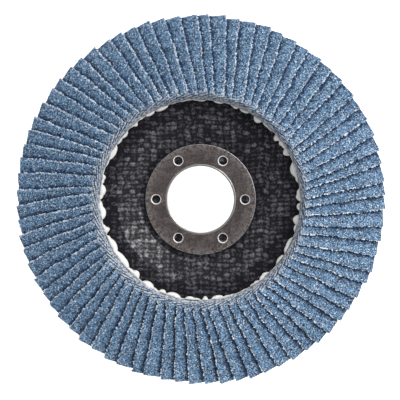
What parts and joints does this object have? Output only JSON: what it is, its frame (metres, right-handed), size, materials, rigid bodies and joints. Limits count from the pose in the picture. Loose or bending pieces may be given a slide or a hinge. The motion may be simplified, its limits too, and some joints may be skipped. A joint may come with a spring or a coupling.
{
  "type": "flap disc",
  "caption": "Conical abrasive flap disc: overlapping blue coated-cloth flaps glued in a ring on a glass-fibre backing plate with a sunk hub and a steel-lined bore.",
  "frame": {"origin": "on the bore's axis in the rear seating face, the lowest point of the disc as it lies on its back", "axes": "+Z along the bore towards the working side; +X through one pierced hole of the front ring; +Y along the first flap"},
  "size_m": [0.125, 0.125, 0.0147],
  "materials": {
    "resin_glass_cloth": "pressed woven glass cloth in black resin",
    "ring_steel": "rolled sheet, lightly scratched",
    "bush_steel": "bright drawn sheet",
    "epoxy": "cured, beaded",
    "coated_cloth": "coarse blue zirconia grain on pale cloth"
  },
  "bodies": {
    "root": {"backing_plate": "resin_glass_cloth", "front_ring": "ring_steel", "arbor_bush": "bush_steel", "adhesive_bead": "epoxy", "flap_pair_01": "coated_cloth", "flap_pair_02": "coated_cloth", "flap_pair_03": "coated_cloth", "flap_pair_04": "coated_cloth", "flap_pair_05": "coated_cloth", "flap_pair_06": "coated_cloth", "flap_pair_07": "coated_cloth", "flap_pair_08": "coated_cloth", "flap_pair_09": "coated_cloth", "flap_pair_10": "coated_cloth", "flap_pair_11": "coated_cloth", "flap_pair_12": "coated_cloth", "flap_pair_13": "coated_cloth", "flap_pair_14": "coated_cloth", "flap_pair_15": "coated_cloth", "flap_pair_16": "coated_cloth", "flap_pair_17": "coated_cloth", "flap_pair_18": "coated_cloth", "flap_pair_19": "coated_cloth", "flap_pair_20": "coated_cloth", "flap_pair_21": "coated_cloth", "flap_pair_22": "coated_cloth", "flap_pair_23": "coated_cloth", "flap_pair_24": "coated_cloth", "flap_pair_25": "coated_cloth", "flap_pair_26": "coated_cloth", "flap_pair_27": "coated_cloth", "flap_pair_28": "coated_cloth", "flap_pair_29": "coated_cloth", "flap_pair_30": "coated_cloth", "flap_pair_31": "coated_cloth", "flap_pair_32": "coated_cloth", "flap_pair_33": "coated_cloth", "flap_pair_34": "coated_cloth", "flap_pair_35": "coated_cloth", "flap_pair_36": "coated_cloth", "flap_pair_37": "coated_cloth", "flap_pair_38": "coated_cloth"}
  },
  "joints": []
}
